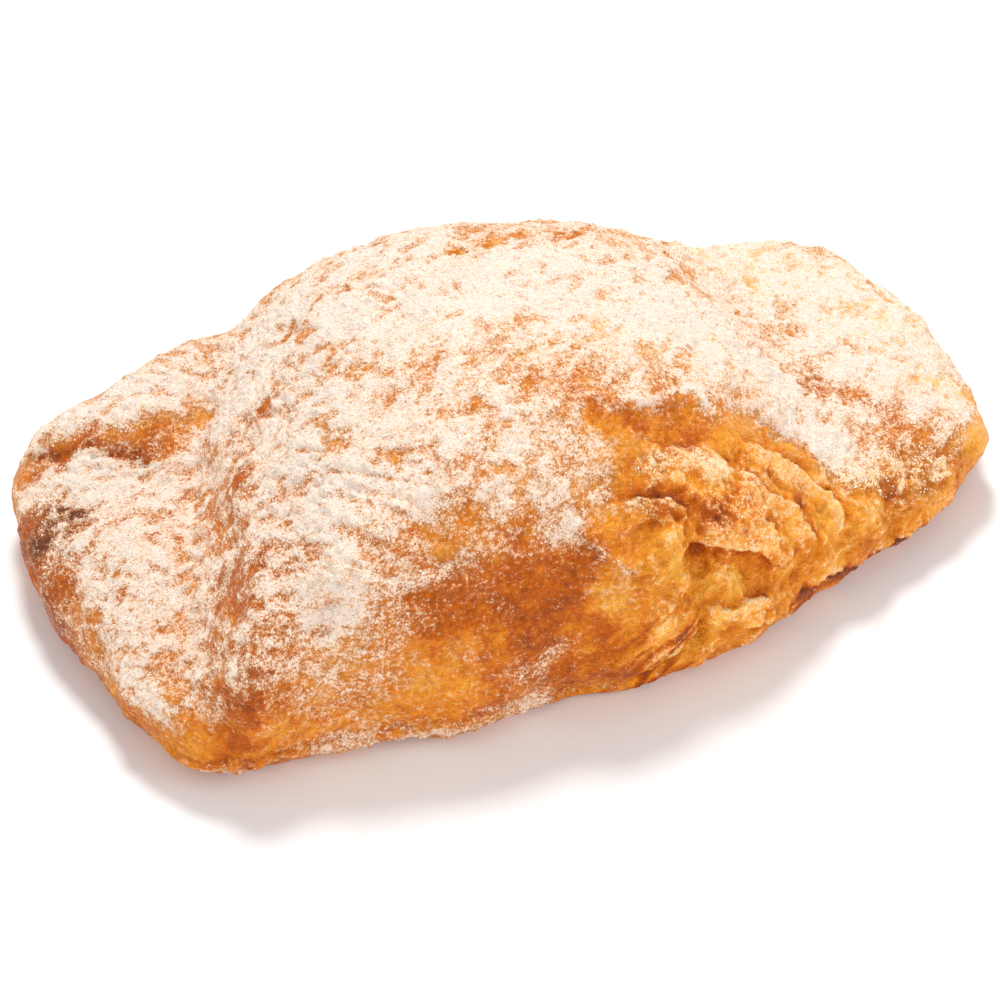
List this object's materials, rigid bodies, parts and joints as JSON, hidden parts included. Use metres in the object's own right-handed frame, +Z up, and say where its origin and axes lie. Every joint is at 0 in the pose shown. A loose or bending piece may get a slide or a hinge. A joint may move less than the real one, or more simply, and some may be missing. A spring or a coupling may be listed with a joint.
{
  "type": "sfogliatella puff pastry",
  "caption": "Baked puff pastry parcel: a high dome between two pressed flaps, burst open along its front foot and dusted with icing sugar.",
  "frame": {"origin": "on the resting plane, under the middle of the outline's box", "axes": "+X along the length from the broad flap to the narrow one, -Y towards the side that burst open, +Z up"},
  "size_m": [0.1442, 0.089, 0.0414],
  "materials": {
    "crust": "baked golden crust, satin where bare",
    "icing_sugar": "dry powdered sugar, matte"
  },
  "bodies": {
    "root": {"pastry": "crust"}
  },
  "joints": []
}
